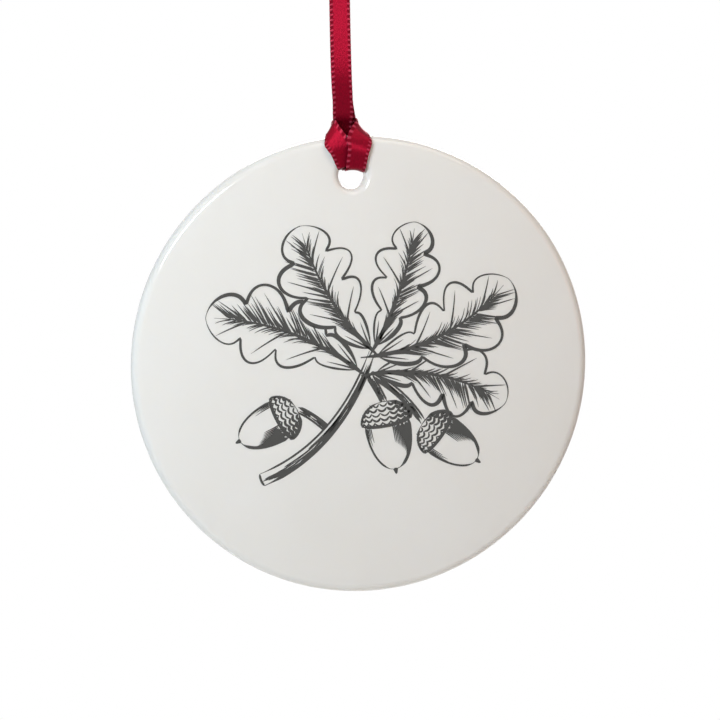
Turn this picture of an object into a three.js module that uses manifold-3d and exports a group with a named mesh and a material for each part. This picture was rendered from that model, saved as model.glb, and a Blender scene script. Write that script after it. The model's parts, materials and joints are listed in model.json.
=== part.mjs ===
// Flat round porcelain ornament, hung by a narrow satin ribbon.
// Millimetres, +Z up, the printed face towards -Y. The origin is the seat of the
// ribbon loop on its hook, and everything else hangs below it.

import * as THREE from 'three';
import { mergeVertices } from 'three/addons/utils/BufferGeometryUtils.js';
import Module from 'manifold-3d';

const wasm = await Module();
wasm.setup();

// Driving dimensions of the disc
const DISC_DIAMETER = 72;
const DISC_THICKNESS = 3;
const EDGE_ROUND = 1.35;
const HOLE_DIAMETER = 4.45;
const HOLE_LIP_ROUND = 1.45;
const HOLE_HEIGHT = 30.2; // hole's centre above the disc's centre

// Driving dimensions of the ribbon
const RIBBON_WIDTH = 3.2;
const RIBBON_THICKNESS = 0.25;
const LOOP_HEIGHT = 54; // disc's top edge to the seat on the hook
const BEND_HEIGHT = 6; // disc's top edge to the bend where the disc tilts
const TWIST_END_HEIGHT = 22.6; // disc's top edge to the lower end of the twisting stretch
const STRETCH_GAP = 0.3; // between the faces of two stretches of ribbon
const KNOT_HEIGHT = 5.6;
const KNOT_WIDTH = 4.2;
const KNOT_DEPTH = 2.6;
const KNOT_FOOT = 0.9; // height of the knot's underside above the seat

// Fineness of the round faces
const DISC_SEGMENTS = 96;
const HOLE_SEGMENTS = 48;
const ROUND_STEPS = 5;
const RIBBON_COLUMNS = 4;
const STEPS_PER_STATION = 3;
const KNOT_SEGMENTS = 28;
const KNOT_PROFILE_STEPS = 12;

const DISC_RADIUS = DISC_DIAMETER / 2;
const DISC_DROP = LOOP_HEIGHT + DISC_RADIUS; // seat to the disc's centre

const glazedPorcelain = new THREE.MeshStandardMaterial({ color: 0xefeee9, roughness: 0.12, metalness: 0 });
const redSatin = new THREE.MeshStandardMaterial({ color: 0xa80f33, roughness: 0.42, metalness: 0 });

// Solids and meshes

function solidOf(geometry) {
  const bare = geometry.clone();
  bare.deleteAttribute('normal');
  bare.deleteAttribute('uv');
  const merged = mergeVertices(bare);
  const corners = merged.index.array;
  const triangles = [];
  for (let i = 0; i < corners.length; i += 3) {
    const [a, b, c] = corners.slice(i, i + 3);
    const degenerate = a === b || b === c || c === a;
    if (!degenerate) triangles.push(a, b, c);
  }
  return new wasm.Manifold(new wasm.Mesh({
    numProp: 3,
    vertProperties: Float32Array.from(merged.attributes.position.array),
    triVerts: Uint32Array.from(triangles),
  }));
}

function geometryOf(solid) {
  const mesh = solid.getMesh();
  const geometry = new THREE.BufferGeometry();
  geometry.setAttribute('position', new THREE.BufferAttribute(mesh.vertProperties, 3));
  geometry.setIndex(new THREE.BufferAttribute(mesh.triVerts, 1));
  geometry.computeVertexNormals();
  return geometry;
}

function namedMesh(name, geometry, material) {
  const mesh = new THREE.Mesh(geometry, material);
  mesh.name = name;
  return mesh;
}

// Points on an arc about a centre, angles in degrees
function arcPoints(centreX, centreY, radius, from, to) {
  const points = [];
  for (let i = 0; i <= ROUND_STEPS; i += 1) {
    const angle = THREE.MathUtils.degToRad(from + (to - from) * i / ROUND_STEPS);
    points.push(new THREE.Vector2(centreX + radius * Math.cos(angle), centreY + radius * Math.sin(angle)));
  }
  return points;
}

// The disc: a flat round slip-cast plate with a rounded rim, turned about Y,
// with a hole whose two mouths are rounded over by the glaze

function discBlank() {
  const half = DISC_THICKNESS / 2;
  const rimCentre = DISC_RADIUS - EDGE_ROUND;
  const profile = [
    new THREE.Vector2(0, -half),
    ...arcPoints(rimCentre, -half + EDGE_ROUND, EDGE_ROUND, -90, 0),
    ...arcPoints(rimCentre, half - EDGE_ROUND, EDGE_ROUND, 0, 90),
    new THREE.Vector2(0, half),
  ];
  return new THREE.LatheGeometry(profile, DISC_SEGMENTS);
}

function holeCutter() {
  const half = DISC_THICKNESS / 2;
  const lipCentre = HOLE_DIAMETER / 2 + HOLE_LIP_ROUND;
  const beyond = half + HOLE_LIP_ROUND;
  const profile = [
    new THREE.Vector2(0, -beyond),
    new THREE.Vector2(lipCentre, -beyond),
    ...arcPoints(lipCentre, -half + HOLE_LIP_ROUND, HOLE_LIP_ROUND, 270, 180),
    ...arcPoints(lipCentre, half - HOLE_LIP_ROUND, HOLE_LIP_ROUND, 180, 90),
    new THREE.Vector2(lipCentre, beyond),
    new THREE.Vector2(0, beyond),
  ];
  const cutter = new THREE.LatheGeometry(profile, HOLE_SEGMENTS);
  return cutter.translate(0, 0, HOLE_HEIGHT);
}

function porcelainDisc() {
  const drilled = solidOf(discBlank()).subtract(solidOf(holeCutter()));
  return namedMesh('porcelain_disc', geometryOf(drilled), glazedPorcelain);
}

// Ribbon: a flat strip carried along stations. Each station gives the two edges of
// the strip and how far its middle bows towards the side that the strip wraps.

function station(outer, inner, bow = 0) {
  return { outer: new THREE.Vector3(...outer), inner: new THREE.Vector3(...inner), bow };
}

function bowAt(stations, along) {
  const first = Math.min(Math.floor(along), stations.length - 2);
  return THREE.MathUtils.lerp(stations[first].bow, stations[first + 1].bow, along - first);
}

// Middle surface of the strip as rows of points, with the strip's normal at each row
function stripRows(stations) {
  const outerEdge = new THREE.CatmullRomCurve3(stations.map((s) => s.outer));
  const innerEdge = new THREE.CatmullRomCurve3(stations.map((s) => s.inner));
  const last = (stations.length - 1) * STEPS_PER_STATION;
  const rows = [];
  for (let i = 0; i <= last; i += 1) {
    const t = i / last;
    const outer = outerEdge.getPoint(t);
    const inner = innerEdge.getPoint(t);
    const tangent = outerEdge.getTangent(t).add(innerEdge.getTangent(t));
    const normal = tangent.cross(inner.clone().sub(outer)).normalize();
    const bow = bowAt(stations, i / STEPS_PER_STATION);
    const points = [];
    for (let j = 0; j <= RIBBON_COLUMNS; j += 1) {
      const across = j / RIBBON_COLUMNS;
      const lift = 4 * across * (1 - across) * bow;
      points.push(outer.clone().lerp(inner, across).addScaledVector(normal, lift));
    }
    rows.push({ points, normal });
  }
  return rows;
}

function stripGeometry(stations) {
  const rows = stripRows(stations);
  const columns = RIBBON_COLUMNS + 1;
  const positions = [];
  const faces = [];
  for (const side of [1, -1]) {
    for (const { points, normal } of rows) {
      for (const point of points) {
        positions.push(...point.clone().addScaledVector(normal, side * RIBBON_THICKNESS / 2).toArray());
      }
    }
  }
  const back = rows.length * columns;
  const quad = (a, b, c, d) => faces.push(a, b, c, a, c, d);
  for (let i = 0; i + 1 < rows.length; i += 1) {
    const here = i * columns;
    const next = here + columns;
    for (let j = 0; j < RIBBON_COLUMNS; j += 1) {
      quad(here + j, next + j, next + j + 1, here + j + 1);
      quad(back + here + j, back + here + j + 1, back + next + j + 1, back + next + j);
    }
    quad(here, back + here, back + next, next);
    const hereEdge = here + RIBBON_COLUMNS;
    const nextEdge = next + RIBBON_COLUMNS;
    quad(hereEdge, nextEdge, back + nextEdge, back + hereEdge);
  }
  const end = back - columns;
  for (let j = 0; j < RIBBON_COLUMNS; j += 1) {
    quad(j, j + 1, back + j + 1, back + j);
    quad(end + j, back + end + j, back + end + j + 1, end + j + 1);
  }
  const geometry = new THREE.BufferGeometry();
  geometry.setAttribute('position', new THREE.Float32BufferAttribute(positions, 3));
  geometry.setIndex(faces);
  geometry.computeVertexNormals();
  return geometry;
}

// The lark's head hitch, in the disc's own frame. The bight crosses behind the two
// legs, each lobe comes forward over the rim and down the printed face into the hole,
// and each leg leaves the hole at the back and rises between the lobes.

const bightMiddle = station([-0.6, 3.4, 35.35], [-0.6, 2.15, 38.5]);

const leftHalf = [
  station([-2.45, 2.8, 35.65], [-2.15, 1.7, 38.8]),
  station([-3.15, 1.2, 36.3], [-2.46, 0.6, 38.5]),
  station([-3.75, -0.75, 36.15], [-2.1, -0.65, 38.75]),
  station([-4.1, -1.9, 34.7], [-1.5, -1.15, 37.5]),
  station([-3.75, -2, 34.05], [-0.55, -1.75, 36]),
  station([-3.2, -1.95, 33.2], [0, -1.95, 34.4]),
  station([-2.65, -1.95, 31.9], [0.5, -1.95, 32.6]),
  station([-2.3, -1.85, 31.05], [0.85, -1.85, 31.35], 0.15),
  station([-2.05, -1.3, 30.8], [1, -1.3, 31.15], 0.35),
  station([-1.45, 0, 30.85], [0.95, 0, 31.2], 0.5),
  station([-1.95, 1.3, 30.8], [1.1, 1.3, 31.15], 0.35),
  station([-2.1, 1.85, 31.15], [1.05, 1.85, 31.25], 0.15),
  station([-2.15, 1.95, 32.4], [1, 1.95, 32.4]),
  station([-2.15, 1.95, 34.2], [0.95, 1.95, 34.2]),
  station([-1.95, 1.7, 35.8], [0.75, 1.7, 35.8], -0.2),
  station([-1.8, 1.1, 37.2], [0.6, 1.1, 37.2], -0.3),
  station([-2.05, 0.62, 38.3], [0.75, 0.62, 38.3], -0.15),
  station([-2.28, 0.28, 39.3], [0.88, 0.28, 39.3], -0.05),
  station([-2.3, -0.06, 40.6], [0.9, -0.06, 40.6]),
  station([-2.3, -0.28, 42], [0.9, -0.28, 42]),
];

const rightHalf = [
  station([1.25, 2.8, 35.65], [0.95, 1.7, 39.1]),
  station([2.15, 1.2, 36.3], [1.2, 0.65, 38.95]),
  station([2.85, -0.7, 36.2], [0.86, -0.65, 38.9]),
  station([3.3, -1.85, 35.05], [0.4, -1.35, 37.5]),
  station([3.15, -2.1, 34.2], [-0.55, -2.25, 35.9]),
  station([2.75, -2.15, 33.2], [-0.55, -2.55, 34.3]),
  station([2.4, -2.13, 31.8], [-0.8, -2.52, 32.4]),
  station([2.15, -2.05, 30.75], [-1, -2.42, 31.1], 0.1),
  station([2, -1.45, 30.3], [-1.05, -1.5, 30.65], 0.25),
  station([1.65, 0, 30.3], [-1, 0, 30.7], 0.3),
  station([1.9, 1.5, 30.3], [-1.15, 1.5, 30.6], 0.25),
  station([1.7, 2.4, 30.75], [-1.4, 2.4, 30.95], 0.1),
  station([1.35, 2.5, 32.2], [-1.8, 2.5, 32.2]),
  station([1, 2.5, 34.2], [-2.1, 2.5, 34.2]),
  station([0.75, 2.25, 36], [-1.95, 2.25, 36], -0.2),
  station([0.6, 1.58, 37.45], [-1.8, 1.58, 37.45], -0.3),
  station([0.75, 1.06, 38.5], [-2.05, 1.06, 38.5], -0.15),
  station([0.88, 0.74, 39.5], [-2.28, 0.74, 39.5], -0.05),
  station([0.9, 0.44, 40.7], [-2.3, 0.44, 40.7]),
  station([0.9, 0.28, 42], [-2.3, 0.28, 42]),
];

function ribbonHitch() {
  const stations = [...leftHalf.toReversed(), bightMiddle, ...rightHalf];
  return namedMesh('ribbon_hitch', stripGeometry(stations), redSatin);
}

// The two legs, hung from the seat, from the bend up to the knot. Each row gives the
// pair's middle in X and Y, how far each leg stands off that middle, and the height.
// The pair bows a little to the back, and opens into the eye for the hook.

const lowerRoute = [
  [-0.7, 0, 0.28, -LOOP_HEIGHT + BEND_HEIGHT + STRETCH_GAP],
  [-0.72, -0.25, 0.28, -44],
  [-0.55, 0, 0.28, -38],
  [-0.25, 0.6, 0.28, -LOOP_HEIGHT + TWIST_END_HEIGHT],
];

const upperRoute = [
  [-0.23, 0.63, 0.28, -LOOP_HEIGHT + TWIST_END_HEIGHT + STRETCH_GAP],
  [-0.08, 0.95, 0.28, -26],
  [0, 1, 0.28, -20],
  [0, 0.65, 0.3, -14],
  [0, 0.3, 0.55, -10.5],
  [0, 0.1, 1.2, -7],
  [0, 0, 1.75, -4.2],
  [0, 0, 1.9, -2.4],
  [0, 0, 1.55, -0.8],
  [0, 0, 0.75, 0.15],
  [0, 0, 0.4, 0.6],
];

const FRONT = -1;
const BACK = 1;

function legMesh(name, route, side) {
  const half = RIBBON_WIDTH / 2;
  const stations = route.map(([x, middle, apart, z]) => {
    const y = middle + side * apart;
    return station([x - half, y, z], [x + half, y, z]);
  });
  return namedMesh(name, stripGeometry(stations), redSatin);
}

// The overhand knot: the gathered legs as a barrel, one slanted turn of the doubled
// ribbon round it, and the two cut tails that leave its top.

function knotBarrel() {
  const neck = RIBBON_WIDTH / 2;
  const belly = KNOT_WIDTH / 2;
  const profile = new THREE.SplineCurve([
    new THREE.Vector2(neck * 0.9, 0),
    new THREE.Vector2(neck, KNOT_HEIGHT * 0.15),
    new THREE.Vector2(belly * 0.9, KNOT_HEIGHT * 0.5),
    new THREE.Vector2(neck, KNOT_HEIGHT * 0.85),
    new THREE.Vector2(neck * 0.9, KNOT_HEIGHT),
  ]).getPoints(KNOT_PROFILE_STEPS);
  const closed = [new THREE.Vector2(0, 0), ...profile, new THREE.Vector2(0, KNOT_HEIGHT)];
  const barrel = new THREE.LatheGeometry(closed, KNOT_SEGMENTS);
  barrel.rotateX(Math.PI / 2);
  barrel.scale(1, KNOT_DEPTH / KNOT_WIDTH * 0.8, 1);
  return barrel.translate(0, 0, KNOT_FOOT);
}

// One turn of ribbon about the barrel: an ellipse that climbs as it goes round and
// dives into the barrel at both ends
const TURN_START = THREE.MathUtils.degToRad(-75);
const TURN_SWEEP = THREE.MathUtils.degToRad(330);
const TURN_STATIONS = 14;
const TURN_DIVE = 0.45; // share of the radius lost at the two ends
const TURN_GATHER = 0.36; // half width of the gathered turn, as a share of the ribbon's width
const TURN_BOW = -0.25;

function knotTurn() {
  const stations = [];
  for (let i = 0; i <= TURN_STATIONS; i += 1) {
    const share = i / TURN_STATIONS;
    const angle = TURN_START + TURN_SWEEP * share;
    const dive = 1 - TURN_DIVE * Math.pow(Math.abs(2 * share - 1), 6);
    const x = KNOT_WIDTH / 2 * dive * Math.cos(angle);
    const y = KNOT_DEPTH / 2 * dive * Math.sin(angle);
    const middle = KNOT_FOOT + KNOT_HEIGHT * (0.36 + 0.28 * share);
    const half = RIBBON_WIDTH * TURN_GATHER;
    stations.push(station([x, y, middle - half], [x, y, middle + half], TURN_BOW));
  }
  return stripGeometry(stations);
}

const tailTop = KNOT_FOOT + KNOT_HEIGHT;

const frontTail = [
  station([-1.3, -0.3, tailTop - 0.8], [1.3, -0.3, tailTop - 0.8]),
  station([-1.45, -0.55, tailTop + 1.2], [1.5, -0.55, tailTop + 1]),
  station([-1.2, -1.5, tailTop + 3.6], [1.95, -1.5, tailTop + 3]),
  station([-0.8, -3, tailTop + 5.6], [2.3, -2.9, tailTop + 4.7]),
  station([-0.4, -4.6, tailTop + 6.8], [2.7, -3.8, tailTop + 5.4]),
];

const backTail = [
  station([1.3, 0.3, tailTop - 0.8], [-1.3, 0.3, tailTop - 0.8]),
  station([1.45, 0.55, tailTop + 1.2], [-1.5, 0.55, tailTop + 1]),
  station([1.3, 1.4, tailTop + 3.8], [-1.85, 1.4, tailTop + 3.2]),
  station([1, 2.6, tailTop + 6.2], [-2.1, 2.5, tailTop + 5.2]),
  station([0.7, 3.9, tailTop + 8], [-2.4, 3.3, tailTop + 6.4]),
];

function ribbonKnot() {
  const knot = [knotTurn(), stripGeometry(frontTail), stripGeometry(backTail)]
    .map(solidOf)
    .reduce((joined, piece) => joined.add(piece), solidOf(knotBarrel()));
  return namedMesh('ribbon_knot', geometryOf(knot), redSatin);
}

// Assembly

const discAndHitch = new THREE.Group();
discAndHitch.position.z = -DISC_DROP;
discAndHitch.add(porcelainDisc(), ribbonHitch());

const ornament = new THREE.Group();
ornament.add(
  discAndHitch,
  legMesh('ribbon_front_leg_lower', lowerRoute, FRONT),
  legMesh('ribbon_back_leg_lower', lowerRoute, BACK),
  legMesh('ribbon_front_leg_upper', upperRoute, FRONT),
  legMesh('ribbon_back_leg_upper', upperRoute, BACK),
  ribbonKnot(),
);

export default ornament;
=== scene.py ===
"""The looks of a flat glazed porcelain ornament that hangs on a narrow red satin ribbon.

Metres, +Z up, the printed face towards -Y. The origin is the seat of the ribbon loop on its hook.
"""
import json

import bpy
import numpy as np
from mathutils import Matrix, Vector


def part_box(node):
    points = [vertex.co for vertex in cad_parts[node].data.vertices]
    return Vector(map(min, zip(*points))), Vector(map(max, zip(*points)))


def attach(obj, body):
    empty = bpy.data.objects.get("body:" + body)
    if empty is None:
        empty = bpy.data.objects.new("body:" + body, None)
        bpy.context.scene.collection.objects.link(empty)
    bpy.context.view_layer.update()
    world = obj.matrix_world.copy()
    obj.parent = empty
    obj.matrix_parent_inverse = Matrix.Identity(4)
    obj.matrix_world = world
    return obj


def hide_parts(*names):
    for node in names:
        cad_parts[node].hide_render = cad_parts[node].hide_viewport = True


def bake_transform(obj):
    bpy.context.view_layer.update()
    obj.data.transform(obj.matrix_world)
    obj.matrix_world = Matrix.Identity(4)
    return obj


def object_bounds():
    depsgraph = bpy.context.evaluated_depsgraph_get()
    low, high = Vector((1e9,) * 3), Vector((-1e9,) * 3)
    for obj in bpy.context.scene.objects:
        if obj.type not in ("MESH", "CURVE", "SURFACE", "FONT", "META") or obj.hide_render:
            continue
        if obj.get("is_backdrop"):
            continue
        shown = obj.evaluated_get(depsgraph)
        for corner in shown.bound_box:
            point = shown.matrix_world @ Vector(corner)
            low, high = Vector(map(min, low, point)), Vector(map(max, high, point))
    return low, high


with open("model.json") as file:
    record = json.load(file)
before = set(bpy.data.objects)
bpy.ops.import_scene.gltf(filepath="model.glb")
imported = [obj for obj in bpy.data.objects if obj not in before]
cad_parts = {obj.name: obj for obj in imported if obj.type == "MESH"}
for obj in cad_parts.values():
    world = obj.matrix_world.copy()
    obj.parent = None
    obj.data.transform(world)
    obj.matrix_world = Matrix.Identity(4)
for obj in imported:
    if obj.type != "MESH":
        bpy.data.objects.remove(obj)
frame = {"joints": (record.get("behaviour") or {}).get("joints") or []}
cad_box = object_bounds()

# Sizes that come from the frame

MM = 0.001
disc_low, disc_high = [np.array(corner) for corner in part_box("porcelain_disc")]
disc_centre = (disc_low + disc_high) / 2
disc_radius = (disc_high[0] - disc_low[0]) / 2
half_thickness = (disc_high[1] - disc_low[1]) / 2
joint_height = {joint["name"]: joint["pos_m"][2] for joint in frame["joints"]}
twist_foot = joint_height["ribbon_twist"]

# Sizes of the real pieces

EDGE_ROUND = 1.35 * MM
HOLE_RADIUS = 2.0 * MM
HOLE_LIP_ROUND = 1.3 * MM
HOLE_HEIGHT = 29.75 * MM  # from the disc's centre to the hole's
RIBBON_WIDTH = 3.2 * MM
RIBBON_THICKNESS = 0.22 * MM


# Meshes from grids of points

def grid_faces(rows, columns, close_rows=False, close_columns=False):
    """Corner numbers of the quads between neighbouring points of a grid, row by row. A closed direction joins
    its last line of points to its first."""
    row = np.arange(rows if close_rows else rows - 1)[:, None]
    column = np.arange(columns if close_columns else columns - 1)[None, :]
    next_row = (row + 1) % rows
    next_column = (column + 1) % columns
    corners = [row * columns + column, next_row * columns + column,
               next_row * columns + next_column, row * columns + next_column]
    return np.stack(np.broadcast_arrays(*corners), -1).reshape(-1, 4)


def tube_faces(rows, columns):
    """Quads of a closed ring carried along rows, with one many-sided face over each end."""
    sides = grid_faces(rows, columns, close_columns=True)[:, ::-1]
    ends = [np.arange(columns), (rows - 1) * columns + np.arange(columns)[::-1]]
    return [*sides, *ends]


def mesh_piece(name, points, faces, material, uv=None, attributes=None, smooth=True):
    """A mesh object at the origin. The UV map and each attribute come with one value for every point."""
    mesh = bpy.data.meshes.new(name)
    mesh.from_pydata(points.reshape(-1, 3), [], faces)
    if uv is not None:
        corner_points = np.concatenate([*faces])
        layer = mesh.uv_layers.new(name="UVMap")
        layer.data.foreach_set("uv", uv.reshape(-1, 2)[corner_points].astype(np.float32).ravel())
    for label, values in (attributes or {}).items():
        layer = mesh.attributes.new(label, "FLOAT", "POINT")
        layer.data.foreach_set("value", values.astype(np.float32).ravel())
    if smooth:
        mesh.shade_smooth()
    mesh.materials.append(material)
    piece = bpy.data.objects.new(name, mesh)
    bpy.context.scene.collection.objects.link(piece)
    return piece


# Materials

def linear(hex_colour):
    """The linear colour of an sRGB hex value."""
    value = np.array([int(hex_colour[i:i + 2], 16) for i in (1, 3, 5)]) / 255
    dark = value / 12.92
    light = ((value + 0.055) / 1.055) ** 2.4
    return (*np.where(value <= 0.04045, dark, light), 1.0)


def add(tree, kind, inputs=None, **settings):
    """Adds one node. An input that is given a socket gets a link, and any other a plain value."""
    node = tree.nodes.new("ShaderNode" + kind)
    for name, value in settings.items():
        setattr(node, name, value)
    for name, value in (inputs or {}).items():
        if isinstance(value, bpy.types.NodeSocket):
            tree.links.new(value, node.inputs[name])
        else:
            node.inputs[name].default_value = value
    return node


def new_material(name):
    """A material with an empty node tree, and that tree."""
    material = bpy.data.materials.new(name)
    material.use_nodes = True
    material.node_tree.nodes.clear()
    return material, material.node_tree


def glazed_porcelain():
    """White porcelain under a fired clear glaze: a wet gloss, a faint uneven pull of the glaze over a thumb's
    breadth, and a body that is a little warmer where the glaze is thin."""
    material, tree = new_material("glazed_porcelain")
    place = add(tree, "TexCoord").outputs["Object"]
    thick_glaze = linear("#F3F3F1")
    thin_glaze = linear("#EFEEEA")
    pull_size = 14 * MM
    pull = add(tree, "TexNoise", {"Vector": place, "Scale": 1 / pull_size, "Detail": 2.0, "Roughness": 0.5})
    tint = add(tree, "Mix", {"Factor": pull.outputs["Fac"], "A": thick_glaze, "B": thin_glaze},
               data_type="RGBA")
    ripple_size = 5 * MM
    ripple = add(tree, "TexNoise", {"Vector": place, "Scale": 1 / ripple_size, "Detail": 1.0})
    bump = add(tree, "Bump", {"Height": ripple.outputs["Fac"], "Strength": 0.06, "Distance": 0.2 * MM})
    shader = add(tree, "BsdfPrincipled", {
        "Base Color": tint.outputs["Result"], "Roughness": 0.1, "IOR": 1.5, "Normal": bump.outputs["Normal"],
        "Subsurface Weight": 0.15, "Subsurface Radius": (1.0, 0.9, 0.75), "Subsurface Scale": 1.2 * MM})
    add(tree, "OutputMaterial", {"Surface": shader.outputs[0]})
    return material


def fired_ink():
    """Charcoal ink fired into the glaze: nearly as glossy as the face, and uneven where the pen ran dry."""
    material, tree = new_material("fired_charcoal_ink")
    place = add(tree, "TexCoord").outputs["Object"]
    full_ink = linear("#40403E")
    dry_ink = linear("#4A4A48")
    patch_size = 1.5 * MM
    patch = add(tree, "TexNoise", {"Vector": place, "Scale": 1 / patch_size, "Detail": 3.0})
    tint = add(tree, "Mix", {"Factor": patch.outputs["Fac"], "A": full_ink, "B": dry_ink}, data_type="RGBA")
    shader = add(tree, "BsdfPrincipled", {
        "Base Color": tint.outputs["Result"], "Roughness": 0.16, "IOR": 1.5})
    add(tree, "OutputMaterial", {"Surface": shader.outputs[0]})
    return material


def satin_ribbon():
    """Polyester satin ribbon, woven with long floats along its length and whipped along both edges: a red
    sheen that stretches across the ribbon where it turns to the light, a fine uneven weave with painted shade
    on its sunk threads and painted sheen on its raised ones, and pale stitches with painted shade in the
    needle holes between them on each edge."""
    material, tree = new_material("red_satin_ribbon")
    place = add(tree, "UVMap", uv_map="UVMap").outputs["UV"]
    thread = 0.2 * MM  # coarser than the real 0.05 mm, so that it shows
    float_length = 0.5 * MM
    stretched = add(tree, "Mapping", {"Vector": place, "Scale": (1 / float_length, RIBBON_WIDTH / thread, 1)})
    floats = add(tree, "TexNoise", {"Vector": stretched.outputs["Vector"], "Scale": 1.0, "Detail": 3.0})
    weave = add(tree, "Bump", {"Height": floats.outputs["Fac"], "Strength": 0.8, "Distance": 0.05 * MM})
    # The weave's colour follows the same noise as its bump: the yarn's random unevenness, with painted shade
    # on the sunk threads and painted sheen on the raised ones.
    cloth = add(tree, "ValToRGB", {"Fac": floats.outputs["Fac"]})
    sunk_thread_shade = cloth.color_ramp.elements[0]
    sunk_thread_shade.position = 0.3
    sunk_thread_shade.color = linear("#2E0006")
    raised_thread_sheen = cloth.color_ramp.elements[1]
    raised_thread_sheen.position = 0.7
    raised_thread_sheen.color = linear("#660017")

    stitch = add(tree, "Attribute", attribute_name="stitch").outputs["Fac"]
    notch = add(tree, "Attribute", attribute_name="notch").outputs["Fac"]
    # Painted shade in the needle holes between the stitches, where the notch mask is.
    needle_hole_shade = linear("#3C000A")
    stitch_thread = linear("#A04258")
    hole_shaded = add(tree, "Mix", {"Factor": notch, "A": cloth.outputs["Color"], "B": needle_hole_shade},
                   data_type="RGBA")
    edged = add(tree, "Mix", {"Factor": stitch, "A": hole_shaded.outputs["Result"], "B": stitch_thread},
                data_type="RGBA")
    cloth_roughness = 0.46
    hole_dulling = 0.42
    dull = add(tree, "Math", {0: notch, 1: hole_dulling, 2: cloth_roughness}, operation="MULTIPLY_ADD")
    along = add(tree, "Tangent", direction_type="UV_MAP", uv_map="UVMap")
    shader = add(tree, "BsdfPrincipled", {
        "Base Color": edged.outputs["Result"], "Roughness": dull.outputs[0], "IOR": 1.82,
        "Specular IOR Level": 1.0, "Specular Tint": linear("#FF2C50"), "Anisotropic": 0.95,
        "Anisotropic Rotation": 0.25, "Tangent": along.outputs["Tangent"], "Normal": weave.outputs["Normal"]})
    add(tree, "OutputMaterial", {"Surface": shader.outputs[0]})
    return material


satin = satin_ribbon()


# The porcelain disc

def porcelain_plate():
    """Circles nested one in the next, joined into one closed skin. The section goes from the middle of the
    hole's wall round the front lip, over the front face, round the rim, over the back face and round the back
    lip. A circle's centre slides from the hole's centre to the disc's as its radius grows."""
    spokes = 256
    lip_circles = 12
    rim_circles = 14
    face_circles = 24
    around = np.linspace(0, 2 * np.pi, spokes, endpoint=False)
    lip_circle = HOLE_RADIUS + HOLE_LIP_ROUND
    rim_circle = disc_radius - EDGE_ROUND
    lip_turn = np.radians(np.linspace(180, 270, lip_circles))
    rim_turn = np.radians(np.linspace(-90, 0, rim_circles))
    across = np.linspace(0, 1, face_circles + 2)[1:-1]
    radius = np.concatenate([
        lip_circle + HOLE_LIP_ROUND * np.cos(lip_turn),
        lip_circle + (rim_circle - lip_circle) * across,
        rim_circle + EDGE_ROUND * np.cos(rim_turn)])
    depth = np.concatenate([
        HOLE_LIP_ROUND - half_thickness + HOLE_LIP_ROUND * np.sin(lip_turn),
        np.full_like(across, -half_thickness),
        EDGE_ROUND - half_thickness + EDGE_ROUND * np.sin(rim_turn)])
    slide = np.concatenate([np.zeros_like(lip_turn), across, np.ones_like(rim_turn)])
    radius = np.concatenate([radius, radius[::-1]])[:, None]
    depth = np.concatenate([depth, -depth[::-1]])[:, None]
    slide = np.concatenate([slide, slide[::-1]])[:, None]
    x = radius * np.cos(around)
    y = np.broadcast_to(depth, x.shape)
    z = HOLE_HEIGHT * (1 - slide) + radius * np.sin(around)
    points = np.stack([x, y, z], -1) + disc_centre
    faces = grid_faces(len(radius), spokes, close_rows=True, close_columns=True)
    plate = mesh_piece("porcelain_plate", points, faces, glazed_porcelain())
    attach(plate, "disc")
    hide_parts("porcelain_disc")


# The print: a sprig of oak in pen strokes, drawn on the face in millimetres from the disc's centre, X to the
# right and Z up. A stroke is a path of points and the pen's width at each of them. Strokes come in batches.

INK_HEIGHT = 0.02 * MM
INK_STEP = 0.004 * MM  # from one stroke's height to the next, so that neighbours don't lie in one plane
INK_LAYERS = 12
PEN_WEIGHT = 1.25
SHORTEST_RUN = 3  # the fewest points of a stretch that is drawn
pen = np.random.default_rng(11)


def pen_batch(paths, start, end, rings, weight=1):
    """A batch of strokes: their paths, the pen's widths along them, and how many rings of points a whole
    stroke gets. A width goes from start to end times a weight, and is less where the pen lands and lifts."""
    tip_slope = 9
    lightest = 0.25
    count, steps = paths.shape[:2]
    along = np.linspace(0, 1, steps)
    tips = np.clip(np.minimum(along * tip_slope, (1 - along) * tip_slope), lightest, 1)
    start = np.broadcast_to(np.asarray(start, float), count)[:, None]
    end = np.broadcast_to(np.asarray(end, float), count)[:, None]
    return paths, (start + (end - start) * along) * tips * weight, rings


def bezier(a, b, c, steps):
    """Quadratic curves from a to c that lean towards b, for whole arrays of such points at once."""
    t = np.linspace(0, 1, steps)[:, None]
    a, b, c = [np.asarray(corner, float)[..., None, :] for corner in (a, b, c)]
    return (1 - t) ** 2 * a + 2 * t * (1 - t) * b + t ** 2 * c


def inside(points, outline):
    """Even-odd test: a point is inside where a level ray from it crosses the closed outline an odd number of
    times."""
    start = outline
    end = np.roll(outline, -1, axis=0)
    x, z = points[:, None, 0], points[:, None, 1]
    straddles = (start[:, 1] > z) != (end[:, 1] > z)
    rise = np.where(end[:, 1] == start[:, 1], 1e-9, end[:, 1] - start[:, 1])
    crossing = start[:, 0] + (z - start[:, 1]) / rise * (end[:, 0] - start[:, 0])
    return (straddles & (crossing > x)).sum(1) % 2 == 1


def visible_runs(path, width, covers):
    """The stretches of a stroke that no outline in front of it hides."""
    shown = np.ones(len(path), bool)
    for outline in covers:
        shown &= ~inside(path, outline)
    marks = np.flatnonzero(np.diff(np.concatenate([[0], shown.astype(int), [0]])))
    return [(path[a:b], width[a:b]) for a, b in marks.reshape(-1, 2) if b - a >= SHORTEST_RUN]


def evened(path, width, rings):
    """The stroke read again at even steps of its length."""
    run = np.concatenate([[0], np.cumsum(np.linalg.norm(np.diff(path, axis=0), axis=1))])
    at = np.linspace(0, run[-1], rings)
    return np.stack([np.interp(at, run, path[:, i]) for i in (0, 1)], -1), np.interp(at, run, width)


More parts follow.
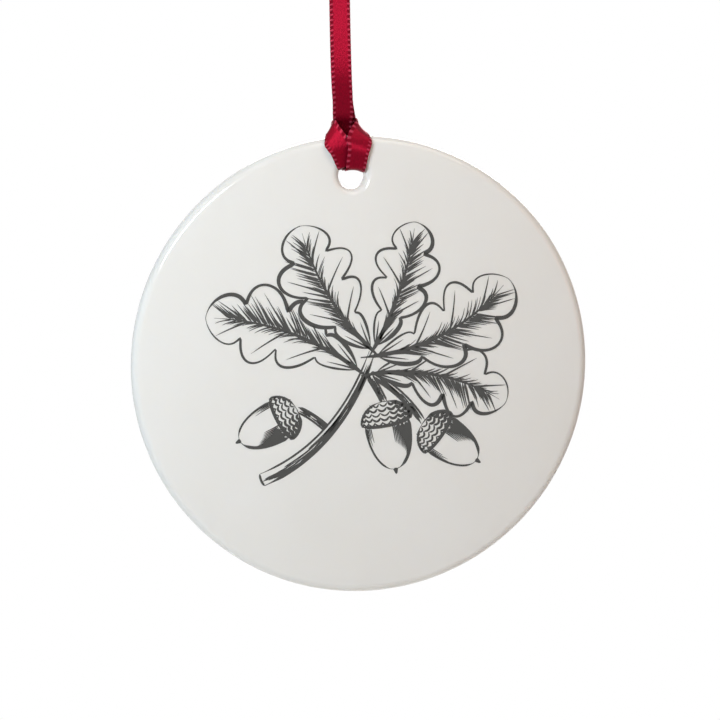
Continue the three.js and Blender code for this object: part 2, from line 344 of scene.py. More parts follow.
class Leaf:
    """An oak leaf about a bent midrib. A place on it is its share along the midrib and its distance to one
    side."""

    # Corners of a vein's curve: the shift along the midrib from the lobe's middle, and the share of the
    # reach.
    VEIN_CORNERS = ((-0.13, 0), (-0.05, 0.3), (0.06, 0.78))

    def __init__(self, base, tip, half_width, bend, lobes, shadow_side):
        """From base to tip. The bend is a share of the length, and the shadow's side is 1 or -1."""
        self.base = np.array(base, float)
        self.tip = np.array(tip, float)
        self.length = np.linalg.norm(self.tip - self.base)
        self.half_width = half_width
        self.bend = bend
        self.lobes = lobes
        self.shadow_side = shadow_side

    def place(self, along, aside):
        """Midrib: the chord plus a parabola to one side. A place lies off it along the midrib's normal."""
        chord = self.tip - self.base
        square = np.array([-chord[1], chord[0]])
        along = np.asarray(along, float)[..., None]
        middle = self.base + chord * along + square * self.bend * 4 * along * (1 - along)
        run = chord + square * self.bend * 4 * (1 - 2 * along)
        normal = np.stack([-run[..., 1], run[..., 0]], -1) / np.linalg.norm(run, axis=-1, keepdims=True)
        return middle + normal * np.asarray(aside, float)[..., None]

    def reach(self, along):
        """Half width without the lobes: narrow at the stalk, fullest past the middle, blunt at the tip."""
        return self.half_width * np.sin(np.pi * np.clip(along, 0, 1) ** 1.25) ** 0.75

    def edge(self, side):
        """One lobed edge from base to tip: the half width times a wave, and a second wave along the leaf that
        makes the lobes wide and the bays between them narrow. Far points lean towards the tip."""
        bay_share = 0.5
        lobe_swell = 0.62
        tip_lean = 0.22
        past_tip = 1.04
        share = np.linspace(0, 1, 120)
        beat = 2 * np.pi * self.lobes * share
        wave = (0.5 - 0.5 * np.cos(beat)) ** 0.7
        aside = self.reach(share) * (bay_share + (1 - bay_share) * wave)
        swell = lobe_swell * np.sin(beat) / (2 * np.pi * self.lobes)
        along = share - swell + tip_lean * aside / self.length
        return self.place(np.clip(along, 0, past_tip), side * aside)

    def outline(self):
        """Up one edge and down the other."""
        return np.concatenate([self.edge(1), self.edge(-1)[::-1]])

    def edge_line(self, side, in_shadow):
        """The edge as one line whose width swells three times on the way, heavier in the shadow."""
        edge = self.edge(side)
        swell = 1 + 0.25 * np.sin(np.linspace(0, 6 * np.pi, len(edge)) + side)
        weight = 1.35 if in_shadow else 0.85
        return pen_batch(edge[None], start=0.34, end=0.3, rings=110, weight=swell * weight)

    def veins(self, side):
        """A bent stroke from the midrib into each lobe."""
        middle = (np.arange(self.lobes) + 0.5) / self.lobes
        corners = [self.place(middle + shift, side * self.reach(middle) * share)
                   for shift, share in self.VEIN_CORNERS]
        return pen_batch(bezier(*corners, 20), start=0.3, end=0.08, rings=16)

    def hatching(self, side, in_shadow):
        """Short strokes from the midrib towards the edge and the tip, longest beside a vein. In the shadow
        they are longer, closer and heavier."""
        spacing = 0.42 if in_shadow else 0.62
        depths = (0.3, 0.62) if in_shadow else (0.12, 0.3)
        weight = 1.25 if in_shadow else 0.8
        foot_gap = 0.12
        count = int(self.length / spacing)
        start = np.linspace(0.06, 0.86, count) + pen.normal(0, 0.006, count)
        near_vein = 0.5 + 0.5 * np.cos(2 * np.pi * self.lobes * (start + 0.1))
        depth = pen.uniform(*depths, count) * (0.75 + 0.5 * near_vein)
        foot = self.place(start, side * foot_gap)
        bow = self.place(start + 0.05, side * self.reach(start) * depth * 0.45)
        head = self.place(start + 0.1 * depth + 0.06, side * self.reach(start) * depth)
        width = pen.uniform(0.16, 0.3, count) * weight
        return pen_batch(bezier(foot, bow, head, 12), start=width, end=0.05, rings=8)

    def midrib(self):
        """One thick line that starts before the leaf, as its stalk, and thins towards the tip."""
        share = np.linspace(-0.1, 0.95, 40)
        line = self.place(share, np.zeros_like(share))
        return pen_batch(line[None], start=0.62, end=0.14, rings=36)

    def strokes(self):
        """The batches of the leaf, one side after the other, then its midrib."""
        for side in (1, -1):
            in_shadow = side == self.shadow_side
            yield self.edge_line(side, in_shadow)
            yield self.veins(side)
            yield self.hatching(side, in_shadow)
        yield self.midrib()


class Acorn:
    """An acorn about a straight axis that runs from the middle of its cup's rim to the nut's tip. A place on
    it is its distance along the axis and its distance to one side."""

    RIM_REACH = 1.14  # half the rim's width, in radii of the nut
    RIM_SAG = 0.16  # how far the rim curves towards the nut's tip, in radii of the nut
    SCALE_ROWS = 5

    def __init__(self, rim, angle, length, radius):
        """From the middle of the rim, at an angle in degrees from X. Length and radius are the nut's."""
        turn = np.radians(angle)
        self.rim = np.array(rim, float)
        self.axis = np.array([np.cos(turn), np.sin(turn)])
        self.square = np.array([-self.axis[1], self.axis[0]])
        self.length = length
        self.radius = radius
        self.cup_height = 0.95 * radius

    def place(self, down, aside):
        """The rim's middle, plus a way along the axis and a way square to it."""
        down, aside = np.broadcast_arrays(np.asarray(down, float), np.asarray(aside, float))
        return self.rim + self.axis * down[..., None] + self.square * aside[..., None]

    def nut(self, share):
        """Half width of the nut: a full oval that runs out in a short point."""
        oval = np.clip(1 - share ** 2.6, 0, 1) ** 0.55 * 0.96
        return self.radius * (oval + 0.04 * np.clip(1 - share, 0, 1))

    def cup(self, share):
        """Half width of the cup above the rim: a quarter of an ellipse."""
        return self.RIM_REACH * self.radius * np.sqrt(np.clip(1 - share ** 2, 0, 1))

    def edges(self, side):
        """The nut's edge and the cup's on one side, each away from the rim."""
        share = np.linspace(0, 1, 40)
        nut = self.place(share * self.length, side * self.nut(share))
        cup = self.place(-share * self.cup_height, side * self.cup(share))
        return nut, cup

    def outline(self):
        """Down one side from the cup's top to the nut's tip, and up the other."""
        nut, cup = self.edges(1)
        far_nut, far_cup = self.edges(-1)
        return np.concatenate([cup[::-1], nut, far_nut[::-1], far_cup])

    def rim_line(self):
        """The cup's rim seen from a little below: a parabola across the acorn."""
        sweep = np.linspace(-1, 1, 40)
        sag = self.RIM_SAG * self.radius * (1 - sweep ** 2)
        rim = self.place(sag, self.RIM_REACH * self.radius * sweep)
        return pen_batch(rim[None], start=0.4, end=0.4, rings=36)

    def point(self):
        """The short thick point at the nut's tip."""
        tip = self.place(np.linspace(0.97, 1.1, 8) * self.length, 0)
        return pen_batch(tip[None], start=0.7, end=0.2, rings=8)

    def scales(self, row):
        """One row of the cup's scales: bowls side by side at even angles round the cup, so that they narrow
        towards its sides. Every other row is staggered, and the dark side is heavier."""
        odd = row % 2
        stagger = 8 if odd else 0
        height = (row + 0.45) / 5.2
        count = 9 - row
        middle = np.sin(np.radians(np.linspace(-72, 72, count) + stagger))
        half = 0.62 * np.cos(np.arcsin(np.clip(middle, -0.99, 0.99))) / count * 2.4
        level = -height * self.cup_height + self.RIM_SAG * self.radius * (1 - middle ** 2) * (1 - height)
        reach = self.cup(height)
        left = self.place(level - 0.1 * self.cup_height, reach * (middle - half))
        bowl = self.place(level + 0.2 * self.cup_height, reach * middle)
        right = self.place(level - 0.1 * self.cup_height, reach * (middle + half))
        width = 0.2 + 0.22 * np.clip(middle, 0, 1) + 0.06 * odd
        return pen_batch(bezier(left, bowl, right, 14), start=width, end=width, rings=10)

    def shade_lines(self, degrees, top, fall):
        """Lines down the nut, each at its own angle round it, from a share of its length and over another."""
        down = top[:, None] + fall[:, None] * np.linspace(0, 1, 18)
        return self.place(down * self.length, self.nut(down) * np.sin(np.radians(degrees))[:, None])

    def shadow(self):
        """Many lines on the dark side, longer and heavier towards the edge."""
        count = 17
        towards_edge = np.linspace(0, 1, count)
        top = pen.uniform(0.03, 0.12, count)
        foot = 0.45 + 0.45 * towards_edge * pen.uniform(0.8, 1, count)
        lines = self.shade_lines(np.linspace(14, 84, count), top, foot - top)
        return pen_batch(lines, start=0.2 + 0.18 * towards_edge, end=0.07, rings=14)

    def light_side(self):
        """A few fine lines along the other edge."""
        count = 6
        top = np.full(count, 0.05)
        fall = pen.uniform(0.2, 0.5, count)
        lines = self.shade_lines(-np.linspace(50, 82, count), top, fall)
        return pen_batch(lines, start=0.15, end=0.05, rings=14)

    def strokes(self):
        """The batches of the acorn: its edges, heavier on the dark side, then the cup and the shading."""
        for side, weight in ((1, 1.3), (-1, 0.8)):
            nut, cup = self.edges(side)
            yield pen_batch(nut[None], start=0.34, end=0.3, rings=36, weight=weight)
            yield pen_batch(cup[None], start=0.36, end=0.36, rings=36, weight=weight)
        yield self.rim_line()
        yield self.point()
        for row in range(self.SCALE_ROWS):
            yield self.scales(row)
        yield self.shadow()
        yield self.light_side()


class Twig:
    """A bent branch whose half width shrinks from its cut end to its tip."""

    STEPS = 60

    def __init__(self, corners, thick, thin):
        """Along a curve with these corners, with one width at its cut end and another at its tip."""
        self.path = bezier(*corners, self.STEPS)
        run = np.gradient(self.path, axis=0)
        square = np.stack([-run[:, 1], run[:, 0]], -1) / np.linalg.norm(run, axis=1)[:, None]
        self.half = square * (np.linspace(thick, thin, self.STEPS)[:, None] / 2)

    def outline(self):
        """Along one side and back along the other."""
        return np.concatenate([self.path + self.half, (self.path - self.half)[::-1]])

    def cut_end(self):
        """A bent stroke across the thick end."""
        bulge = 0.3
        cut = bezier(self.path[0] - self.half[0], self.path[0] - bulge, self.path[0] + self.half[0], 12)
        return pen_batch(cut[None], start=0.3, end=0.3, rings=12)

    def bark(self):
        """Short strokes along the twig at random places, mostly on its dark side."""
        count = 46
        points_each = 11
        start = pen.integers(0, 48, count)
        aside = pen.uniform(-0.85, 0.35, count)[:, None, None]
        index = start[:, None] + np.arange(points_each)
        return pen_batch(self.path[index] + aside * self.half[index], start=0.24, end=0.08, rings=8)

    def strokes(self):
        """The batches of the twig: its sides, heavier on the dark one, its cut end and its bark."""
        for side, width in ((1, 0.26), (-1, 0.42)):
            edge = self.path + side * self.half
            yield pen_batch(edge[None], start=width, end=width, rings=44)
        yield self.cut_end()
        yield self.bark()


# What lies in front comes first.
oak_sprig = [
    Acorn((3.6, -9.2), -82, 7.6, 3.5),
    Acorn((11.8, -11.6), -38, 7.4, 3.3),
    Acorn((-13.2, -7.6), 205, 7.2, 3.2),
    Leaf((1.6, 2.6), (-8.5, 22.4), 6.2, 0.07, 4, 1),
    Leaf((2.6, 1.4), (24, 12.2), 6.3, -0.1, 4, -1),
    Leaf((-0.6, -0.6), (-24, 9), 6.3, -0.08, 4, -1),
    Leaf((2.2, -1.4), (22.6, -7.4), 5.6, 0.09, 4, -1),
    Leaf((2.4, 3), (9.6, 22), 5.2, -0.05, 4, -1),
    Twig(((-16.5, -17), (-4, -12.5), (1.8, 2)), 2.0, 0.9),
    Twig(((1.2, -1.6), (2.6, -4), (3.4, -6)), 0.9, 0.8),
    Twig(((1.6, -1.4), (7, -5), (9.4, -9.6)), 0.9, 0.8),
    Twig(((-5.2, -10.4), (-8, -7.4), (-10.4, -6.3)), 0.9, 0.8),
]


def visible_strokes():
    """Every stroke of the sprig that nothing in front of it hides, in even steps. A stretch of a stroke gets
    its share of the whole stroke's rings."""
    for depth, thing in enumerate(oak_sprig):
        covers = [front.outline() for front in oak_sprig[:depth]]
        for paths, widths, rings in thing.strokes():
            for path, width in zip(paths, widths):
                for run_path, run_width in visible_runs(path, width, covers):
                    run_rings = max(SHORTEST_RUN, rings * len(run_path) // len(path))
                    yield evened(run_path, run_width, run_rings)


def pen_bar(line, width, layer):
    """A stroke as a flat bar: four points at each ring, two on the face and two just under the glaze, at half
    the pen's width to the left and right of the path."""
    run = np.gradient(line, axis=0)
    aside = np.stack([-run[:, 1], run[:, 0]], -1) / np.linalg.norm(run, axis=1)[:, None]
    aside = aside * width[:, None] * PEN_WEIGHT / 2
    height = INK_HEIGHT + INK_STEP * layer
    ring = np.zeros((len(line), 4, 3))
    ring[:, (0, 3), ::2] = ((line + aside) * MM)[:, None]
    ring[:, (1, 2), ::2] = ((line - aside) * MM)[:, None]
    ring[:, :2, 1] = -half_thickness - height
    ring[:, 2:, 1] = INK_HEIGHT - half_thickness
    sides = grid_faces(len(line), 4, close_columns=True)
    ends = [[3, 2, 1, 0], len(line) * 4 - 4 + np.arange(4)]
    return ring.reshape(-1, 3) + disc_centre, np.concatenate([sides, ends])


def ink_print():
    """All the bars in one mesh, at heights that differ from one bar to the next."""
    points = []
    faces = []
    count = 0
    for number, (line, width) in enumerate(visible_strokes()):
        bar_points, bar_faces = pen_bar(line, width, number % INK_LAYERS)
        points.append(bar_points)
        faces.append(bar_faces + count)
        count += len(bar_points)
    ink = mesh_piece("ink_print", np.concatenate(points), np.concatenate(faces), fired_ink(), smooth=False)
    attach(ink, "disc")


# The ribbon: a flat strip carried along stations. A station is the strip's outer edge, its inner edge, both
# in millimetres, and how far its middle bows to the side that the strip wraps. The front leg lies on the -Y
# side of the back leg.

FRONT = -1
BACK = 1
RING_STEP = 0.09 * MM
HEM = 0.5 * MM
STITCH_PITCH = 0.8 * MM
STITCH_SLANT = 0.2
STITCH_LIFT = 0.025 * MM
NEEDLE_HOLE_DEPTH = 0.02 * MM
EDGE_DRAW_IN = 0.01 * MM
SPLIT_LIFT = 0.15  # the lower and the upper legs meet this many millimetres above the twist's foot
split_height = twist_foot / MM + SPLIT_LIFT

# Routes of the doubled legs: the pair's middle in X and Y, how far each leg stands off it, and the height.

lower_route = [
    (-0.25, 0.61, 0.28, split_height),
    (-0.57, 0, 0.28, -39),
    (-0.72, -0.25, 0.28, -45),
]

upper_route = [
    (-0.24, 0.62, 0.28, split_height),
    (-0.08, 0.95, 0.28, -26),
    (0, 1, 0.28, -20),
    (0, 0.65, 0.3, -14),
    (0, 0.3, 0.55, -10.5),
    (0, 0.1, 1.2, -7),
    (0, 0, 1.75, -4.2),
    (0, 0, 1.9, -2.4),
    (0, 0, 1.55, -0.8),
    (0, 0, 0.75, 0.15),
    (0, 0, 0.4, 0.6),
    (0, 0, 0.35, 1.8),
]

# Stations of the hitch from the disc's centre. Each half goes from the bight behind the legs over the rim,
# down the front, through the hole and up the back to its leg.

bight_middle = ((-0.6, 3.4, 35.35), (-0.6, 2.15, 38.5), 0)

left_half = [
    ((-2.45, 2.8, 35.55), (-2.02, 1.7, 38.5), 0),
    ((-3.2, 1.3, 35.95), (-2.46, 0.6, 37.85), 0.1),
    ((-3.75, -0.95, 36.1), (-2.1, -0.75, 38.6), 0.1),
    ((-4.1, -1.87, 34.7), (-1.5, -1.22, 37.5), 0),
    ((-3.75, -2.12, 34.05), (-0.55, -1.72, 36), 0),
    ((-3.2, -2.24, 33.2), (0, -2.04, 34.4), 0),
    ((-2.65, -1.98, 31.9), (0.5, -1.96, 32.6), 0),
    ((-2.3, -1.85, 31.05), (0.85, -1.85, 31.35), 0.15),
    ((-2.05, -1.3, 30.8), (1, -1.3, 31.15), 0.35),
    ((-1.45, 0, 30.85), (0.95, 0, 31.2), 0.5),
    ((-1.95, 1.3, 30.8), (1.1, 1.3, 31.15), 0.35),
    ((-2.1, 1.85, 31.15), (1.05, 1.85, 31.25), 0.15),
    ((-2.15, 1.95, 32.4), (1, 1.95, 32.4), 0),
    ((-2.15, 1.95, 34.2), (0.95, 1.95, 34.2), 0),
    ((-1.95, 1.45, 35.8), (0.75, 1.45, 35.8), -0.2),
    ((-1.8, 0.8, 37.2), (0.6, 0.8, 37.2), -0.25),
    ((-2.25, 0.45, 38.3), (0.75, 0.45, 38.3), -0.1),
    ((-2.32, 0.23, 39.3), (0.88, 0.23, 39.3), -0.03),
    ((-2.3, -0.03, 40.6), (0.9, -0.03, 40.6), 0),
    ((-2.3, -0.28, 42), (0.9, -0.28, 42), 0),
]

right_half = [
    ((1.25, 2.8, 35.55), (1.46, 1.7, 38.6), 0),
    ((2.2, 1.3, 35.95), (1.55, 0.65, 38.1), 0.25),
    ((2.85, -0.7, 36.2), (1.3, -0.65, 38.3), 0.25),
    ((3.3, -2.08, 35.05), (0.4, -1.53, 37.5), 0),
    ((3.15, -2.38, 34.2), (-0.55, -2.43, 35.9), 0),
    ((2.75, -2.48, 33.2), (-0.55, -2.82, 34.3), 0),
    ((2.4, -2.28, 31.8), (-0.8, -2.68, 32.4), 0),
    ((2.15, -2.05, 30.75), (-1, -2.42, 31.1), 0.1),
    ((2, -1.45, 30.3), (-1.05, -1.5, 30.65), 0.25),
    ((1.65, 0, 30.3), (-1, 0, 30.7), 0.3),
    ((1.9, 1.5, 30.3), (-1.15, 1.5, 30.6), 0.25),
    ((1.7, 2.4, 30.75), (-1.4, 2.4, 30.95), 0.1),
    ((1.35, 2.5, 32.2), (-1.8, 2.5, 32.2), 0),
    ((1, 2.5, 34.2), (-2.1, 2.5, 34.2), 0),
    ((0.75, 2.25, 36), (-1.95, 2.25, 36), -0.2),
    ((0.75, 1.58, 37.45), (-1.65, 1.58, 37.45), -0.3),
    ((1.33, 1.06, 38.5), (-1.6, 1.06, 38.5), -0.15),
    ((1.22, 0.74, 39.5), (-1.95, 0.74, 39.5), -0.05),
    ((1.04, 0.44, 40.7), (-2.15, 0.44, 40.7), 0),
    ((0.95, 0.28, 42), (-2.25, 0.28, 42), 0),
]


def leg_stations(route, side):
    """Stations of the front or the back leg from the pair's route: half the ribbon's width to either side."""
    half = RIBBON_WIDTH / MM / 2
    return [((x + side * half, middle + side * apart, z), (x - side * half, middle + side * apart, z), 0)
            for x, middle, apart, z in route]


def lowered(stations):
    """Stations given from the disc's centre, moved to the frame."""
    drop = disc_centre / MM
    return [(np.array(outer) + drop, np.array(inner) + drop, bow) for outer, inner, bow in stations]


def smooth_curve(points, where):
    """A centripetal Catmull-Rom curve through the points, read at station numbers: between two points it is
    the cubic whose end slopes come from the chords, each chord timed by the square root of its length."""
    points = np.asarray(points, float)
    padded = np.concatenate([[2 * points[0] - points[1]], points, [2 * points[-1] - points[-2]]])
    first = np.clip(np.floor(where).astype(int), 0, len(points) - 2)
    share = (where - first)[:, None]
    before, start, end, after = [padded[first + i] for i in range(4)]
    time_before, time_here, time_after = [
        np.linalg.norm(b - a, axis=1)[:, None] ** 0.5
        for a, b in ((before, start), (start, end), (end, after))]
    chord = (end - start) / time_here
    chord_before = (start - before) / time_before
    chord_after = (after - end) / time_after
    slope_start = (chord_before - (end - before) / (time_before + time_here) + chord) * time_here
    slope_end = (chord - (after - start) / (time_here + time_after) + chord_after) * time_here
    square = 3 * (end - start) - 2 * slope_start - slope_end
    cube = 2 * (start - end) + slope_start + slope_end
    return start + share * (slope_start + share * (square + share * cube))


def even_places(outer, inner, step):
    """Station numbers at even steps along the middle of the strip, from the summed length of fine chords."""
    chords_each = 40
    fine = np.linspace(0, len(outer) - 1, chords_each * (len(outer) - 1) + 1)
    middle = (smooth_curve(outer, fine) + smooth_curve(inner, fine)) / 2
    run = np.concatenate([[0], np.cumsum(np.linalg.norm(np.diff(middle, axis=0), axis=1))])
    count = int(round(run[-1] / step))
    travel = np.linspace(0, run[-1], count + 1)
    return np.interp(travel, run, fine), travel


def whipped_edges(travel, from_edge):
    """The row of stitches along each edge, as two values from 0 to 1: a clipped cosine along the ribbon times
    a hump across the hem where the thread lies, and the same between two stitches where the needle went in.
    The third value is how far the edge draws in there."""
    thread_middle = 0.4  # this and the next are shares of the hem's width
    thread_reach = 0.6
    sharpness = 1.5
    stitch_strength = 0.85
    hole_share = 0.4
    pitch = travel[-1] / round(travel[-1] / STITCH_PITCH)
    beat = np.cos(2 * np.pi * (travel[:, None] + STITCH_SLANT * from_edge) / pitch)
    hump = np.clip(1 - ((from_edge / HEM - thread_middle) / thread_reach) ** 2, 0, 1) ** 0.4
    stitch = stitch_strength * np.clip(sharpness * beat, 0, 1) * hump
    notch = np.clip(hole_share - sharpness * beat, 0, 1) * hump
    draw_in = EDGE_DRAW_IN * (1 - beat) * np.clip(1 - from_edge / HEM, 0, 1)
    return stitch, notch, draw_in


def ribbon_surface(stations):
    """The strip as a closed ring of points at each even step along it: its front face, one edge, its back
    face, the other edge. The middle surface goes straight from edge to edge, plus a parabola for the bow. The
    faces lie half a thickness off it, less at the edges and needle holes and a little more at a stitch."""
    outer = np.array([station[0] for station in stations]) * MM
    inner = np.array([station[1] for station in stations]) * MM
    bows = np.array([station[2] for station in stations]) * MM
    where, travel = even_places(outer, inner, RING_STEP)
    bow = np.interp(where, np.arange(len(bows)), bows)[:, None, None]
    outer = smooth_curve(outer, where)
    inner = smooth_curve(inner, where)
    run = np.gradient(outer + inner, axis=0)
    normal = np.cross(run, inner - outer)
    normal = (normal / np.linalg.norm(normal, axis=1)[:, None])[:, None, :]
    width = np.linalg.norm(inner - outer, axis=1)[:, None]

    hem_columns = HEM / RIBBON_WIDTH * np.array([0, 0.1, 0.3, 0.5, 0.7, 0.9, 1.1])
    middle_columns = np.linspace(0.22, 0.78, 7)
    across = np.concatenate([hem_columns, middle_columns, 1 - hem_columns[::-1]])[None, :]
    from_edge = np.minimum(across, 1 - across) * RIBBON_WIDTH
    stitch, notch, draw_in = whipped_edges(travel, from_edge)
    inset = across + np.sign(0.5 - across) * draw_in / width
    lift = STITCH_LIFT * stitch - NEEDLE_HOLE_DEPTH * notch
    edge_share = 0.45
    thin_edge = 0.15 * MM
    thickness = RIBBON_THICKNESS / 2 * np.clip(edge_share + from_edge / thin_edge, 0, 1)

    flat = outer[:, None, :] + inset[:, :, None] * (inner - outer)[:, None, :]
    flat = flat + (4 * across * (1 - across))[:, :, None] * bow * normal
    rise = (thickness + lift)[:, :, None] * normal
    ring = np.concatenate([flat + rise, (flat - rise)[:, ::-1]], axis=1)
    across, stitch, notch = [
        np.concatenate([values, values[:, ::-1]], axis=1)
        for values in (np.broadcast_to(across, stitch.shape), stitch, notch)]
    uv = np.stack([np.broadcast_to(travel[:, None], across.shape), across], -1)
    return ring, uv, {"stitch": stitch, "notch": notch}


def ribbon_piece(name, stations):
    """One stretch of ribbon along its stations, as a mesh."""
    ring, uv, attributes = ribbon_surface(stations)
    piece = mesh_piece(name, ring, tube_faces(*ring.shape[:2]), satin, uv, attributes)
    return piece


def hitch_and_lower_legs():
    """One unbroken strip: down the front leg, through the lark's head hitch and up the back leg."""
    hitch = lowered([*left_half[::-1], bight_middle, *right_half])
    down = leg_stations(lower_route, FRONT)
    up = leg_stations(lower_route, BACK)[::-1]
    strip = ribbon_piece("ribbon_hitch_strip", [*down, *hitch, *up])
    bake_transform(strip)
    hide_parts("ribbon_hitch", "ribbon_front_leg_lower", "ribbon_back_leg_lower")
    return strip


def upper_leg(name, side, node):
    """One leg from the end of the lower stretch up to the knot."""
    leg = ribbon_piece(name, leg_stations(upper_route, side))
    path_points = 33
    path = np.array([(x, middle + side * apart, z) for x, middle, apart, z in upper_route]) * MM
    path = smooth_curve(path, np.linspace(0, len(path) - 1, path_points))
    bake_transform(leg)
    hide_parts(node)
    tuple(path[0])


# The overhand knot above the seat, in millimetres

KNOT_FOOT = 0.75
KNOT_TOP = 6.5
KNOT_HALF_WIDTH = 2.1
KNOT_HALF_DEPTH = 1.3

front_tail = [
    ((-1.3, -0.3, 5.7), (1.3, -0.3, 5.7), 0),
    ((-1.45, -0.55, 7.7), (1.5, -0.55, 7.5), 0),
    ((-1.2, -1.5, 10.1), (1.95, -1.5, 9.5), 0),
    ((-0.8, -3, 12.1), (2.3, -2.9, 11.2), 0),
    ((-0.4, -4.6, 13.3), (2.7, -3.8, 11.9), 0),
]

back_tail = [
    ((1.3, 0.3, 5.7), (-1.3, 0.3, 5.7), 0),
    ((1.45, 0.55, 7.7), (-1.5, 0.55, 7.5), 0),
    ((1.3, 1.4, 10.3), (-1.85, 1.4, 9.7), 0),
    ((1, 2.6, 12.7), (-2.1, 2.5, 11.7), 0),
    ((0.7, 3.9, 14.5), (-2.4, 3.3, 12.9), 0),
]


def knot_core():
    """The gathered legs inside the knot: an upright barrel with rounded ends, and pleats as a wave round it
    that twists as it climbs."""
    rings = 49
    spokes = 144
    pleats = 9
    pleat_depth = 0.05
    pleat_twist = 2.4
    end_rounding = 0.35
    half_width = 0.8 * KNOT_HALF_WIDTH
    half_depth = 0.68 * KNOT_HALF_DEPTH
    share = np.linspace(0, 1, rings)[:, None]
    angle = np.linspace(0, 2 * np.pi, spokes, endpoint=False)[None, :]
    pleat = pleat_depth * np.cos(pleats * angle + pleat_twist * share)
    girth = 1 - end_rounding * np.abs(2 * share - 1) ** 8 + pleat
    x = half_width * girth * np.cos(angle)
    y = half_depth * girth * np.sin(angle)
    z = np.broadcast_to(KNOT_FOOT + (KNOT_TOP - KNOT_FOOT) * share, x.shape)
    points = np.stack([x, y, z], -1) * MM
    uv = np.stack([z * MM, np.broadcast_to(angle / np.pi, x.shape)], -1)
    plain = {"stitch": np.zeros_like(x), "notch": np.zeros_like(x)}
    faces = [face[::-1] for face in tube_faces(*x.shape)]
    core = mesh_piece("ribbon_knot_core", points, faces, satin, uv, plain)
    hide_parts("ribbon_knot")
    return core


def knot_turn(name, low):
    """One turn of the ribbon round the knot: an ellipse that climbs as it goes round and dives in at both
    ends. Its middle bows outwards, which gathers the ribbon."""
    places = 16
    start_angle = -75
    sweep = 330
    climb = 1.2
    bow = 0.3
    dive_depth = 0.45
    gathered_half = 0.3 * RIBBON_WIDTH / MM
    share = np.linspace(0, 1, places)
    angle = np.radians(start_angle + sweep * share)
    dive = 1 - dive_depth * np.abs(2 * share - 1) ** 6
    x = (KNOT_HALF_WIDTH - bow) * dive * np.cos(angle)
    y = (KNOT_HALF_DEPTH - bow) * dive * np.sin(angle)
    z = low + climb * share
    return ribbon_piece(name, [((a, b, c - gathered_half), (a, b, c + gathered_half), bow)
                               for a, b, c in zip(x, y, z)])


def overhand_knot():
    """The knot of the doubled ribbon: its gathered core, two turns side by side, and two cut tails."""
    pieces = [
        knot_core(),
        knot_turn("ribbon_knot_lower_turn", 2.1),
        knot_turn("ribbon_knot_upper_turn", 3.8),
        ribbon_piece("ribbon_front_tail", front_tail),
        ribbon_piece("ribbon_back_tail", back_tail),
    ]
    for piece in pieces:
        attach(piece, "hanger")
    return pieces


# Stage, light and camera

def seen_as_background(tree):
    """The socket that is 1 for rays from the camera and for mirrored and refracted rays, and 0 for the light
    that falls on things."""
    path = add(tree, "LightPath")
    direct = add(tree, "Math", {0: path.outputs["Is Camera Ray"], 1: path.outputs["Is Glossy Ray"]},
                 operation="MAXIMUM")
    seen = add(tree, "Math", {0: direct.outputs[0], 1: path.outputs["Is Transmission Ray"]},
               operation="MAXIMUM")
    return seen.outputs[0]


def white_room():
    """The world: plain white where it is seen, and a faint warm light from all sides on the ornament."""
    world = bpy.data.worlds.new("studio")
    bpy.context.scene.world = world
    world.use_nodes = True
    tree = world.node_tree
    tree.nodes.clear()
    room = add(tree, "Background", {"Color": linear("#FFE6D6"), "Strength": 0.055})
    white = add(tree, "Background", {"Color": (1, 1, 1, 1), "Strength": 1.0})
    mixed = add(tree, "MixShader", {0: seen_as_background(tree), 1: room.outputs[0], 2: white.outputs[0]})
    add(tree, "OutputWorld", {"Surface": mixed.outputs[0]})


def matt_white():
    """Matt white paper: it keeps the ornament's shadow near the middle of the floor, and runs out into the
    plain white of the room."""
    shadow_reach = 0.1
    white_reach = 0.22
    near_glow = 0.45
    white = (1, 1, 1, 1)
    material, tree = new_material("matt_white_floor")
    place = add(tree, "TexCoord").outputs["Object"]
    flat = add(tree, "VectorMath", {0: place, 1: (1, 1, 0)}, operation="MULTIPLY")
    reach = add(tree, "VectorMath", {0: flat.outputs["Vector"]}, operation="LENGTH")
    far = add(tree, "MapRange", {
        "Value": reach.outputs["Value"], "From Min": shadow_reach, "From Max": white_reach})
    shade = add(tree, "BsdfDiffuse", {"Color": linear("#F4F4F2")})
    glow = add(tree, "Emission", {"Color": white, "Strength": near_glow})
    near_floor = add(tree, "AddShader", {0: shade.outputs[0], 1: glow.outputs[0]})
    far_floor = add(tree, "Emission", {"Color": white, "Strength": 1.0})
    lit = add(tree, "MixShader", {
        0: far.outputs["Result"], 1: near_floor.outputs[0], 2: far_floor.outputs[0]})
    mixed = add(tree, "MixShader", {0: seen_as_background(tree), 1: shade.outputs[0], 2: lit.outputs[0]})
    add(tree, "OutputMaterial", {"Surface": mixed.outputs[0]})
    return material


def white_floor():
    """A round floor well below the ornament: level circles about its middle, with the innermost filled in."""
    clearance = 80 * MM
    spokes = 96
    radius = np.array([0.02, 0.4, 1.6])[:, None]
    around = np.linspace(0, 2 * np.pi, spokes, endpoint=False)
    level = np.full((len(radius), spokes), disc_low[2] - clearance)
    points = np.stack([radius * np.cos(around), radius * np.sin(around), level], -1)
    faces = [*grid_faces(len(radius), spokes, close_columns=True), np.arange(spokes)]
    floor = mesh_piece("floor", points, faces, matt_white())
    floor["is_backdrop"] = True


def soft_box(name, place, aim, size, watts, colour):
    """A rectangular lamp that points from its place to its aim."""
    lamp = bpy.data.lights.new(name, "AREA")
    lamp.shape = "RECTANGLE"
    lamp.size, lamp.size_y = size
    lamp.energy = watts
    lamp.color = linear(colour)[:3]
    box = bpy.data.objects.new(name, lamp)
    bpy.context.scene.collection.objects.link(box)
    box.location = place
    box.rotation_euler = (Vector(aim) - Vector(place)).to_track_quat("-Z", "Y").to_euler()


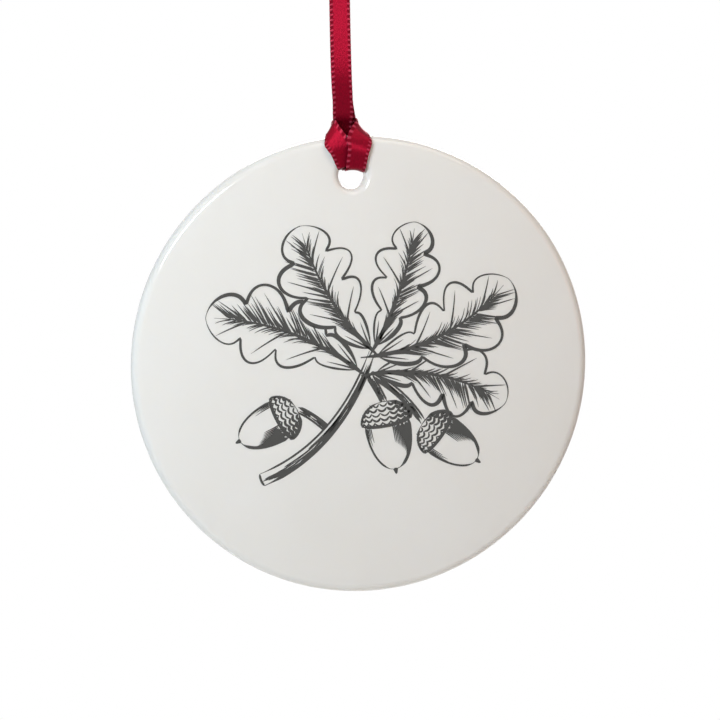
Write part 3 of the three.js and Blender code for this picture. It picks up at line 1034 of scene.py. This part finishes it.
# Name, place, aim, width and height, watts and colour of each lamp. The key light stands at the front left,
# above the disc's middle.
soft_boxes = [
    ("key_light", (-0.102, -0.17, -0.006), (-0.1, 0, -0.13), (0.11, 0.029), 0.318, "#EEF9FF"),
    ("top_light", (0.07, -0.12, 0.11), disc_centre, (0.2, 0.12), 0.19, "#FFF4E8"),
    ("warm_fill", (0.22, -0.26, -0.04), disc_centre, (0.15, 0.15), 0.075, "#FFA24A"),
    ("left_fill", (-0.35, -0.01, -0.06), disc_centre, (0.2, 0.2), 0.16, "#E6F1FF"),
    ("back_fill", (0.1, 0.3, 0.12), disc_centre, (0.3, 0.3), 1.3, "#FCFBF9"),
]

# The view of the photograph, and where the disc lies in it. The sensor's width is in millimetres.
AZIMUTH = np.radians(-7.5)
ELEVATION = np.radians(6.5)
ROLL = np.radians(2.8)
PICTURE = 720
DISC_RADIUS_PIXELS = 229.2
DISC_CENTRE_PIXEL = (359.9, 364.5)
CAMERA_DISTANCE = 0.55
SENSOR_WIDTH = 36


def photo_camera():
    """The camera of the photograph: a little to the left of the face, a little above it, and rolled."""
    pixel = disc_radius / DISC_RADIUS_PIXELS
    right = np.array([np.cos(AZIMUTH), np.sin(AZIMUTH), 0])
    level = np.array([np.sin(AZIMUTH), -np.cos(AZIMUTH), 0])
    toward = level * np.cos(ELEVATION) + np.array([0, 0, np.sin(ELEVATION)])
    up = np.cross(toward, right)
    camera_right = right * np.cos(ROLL) - up * np.sin(ROLL)
    camera_up = right * np.sin(ROLL) + up * np.cos(ROLL)
    aim = disc_centre + camera_right * (PICTURE / 2 - DISC_CENTRE_PIXEL[0]) * pixel
    aim = aim + camera_up * (DISC_CENTRE_PIXEL[1] - PICTURE / 2) * pixel
    camera = bpy.data.cameras.new("photo_camera")
    camera.sensor_width = SENSOR_WIDTH
    camera.lens = SENSOR_WIDTH * CAMERA_DISTANCE / (PICTURE * pixel)
    camera.clip_start = 0.01
    placed = bpy.data.objects.new("photo_camera", camera)
    bpy.context.scene.collection.objects.link(placed)
    turn = Matrix(np.stack([camera_right, camera_up, toward], 1).tolist()).to_4x4()
    placed.matrix_world = Matrix.Translation(Vector(aim + toward * CAMERA_DISTANCE)) @ turn
    bpy.context.scene.camera = placed


porcelain_plate()
ink_print()
strip = hitch_and_lower_legs()
knot = overhand_knot()
upper_leg("ribbon_front_leg", FRONT, "ribbon_front_leg_upper")
upper_leg("ribbon_back_leg", BACK, "ribbon_back_leg_upper")
white_room()
white_floor()
for box in soft_boxes:
    soft_box(*box)
photo_camera()

bpy.context.scene.view_settings.view_transform = "Standard"
boxes = {"cad": cad_box, "visual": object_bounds()}
{name: [list(corner) for corner in box] for name, box in boxes.items()}
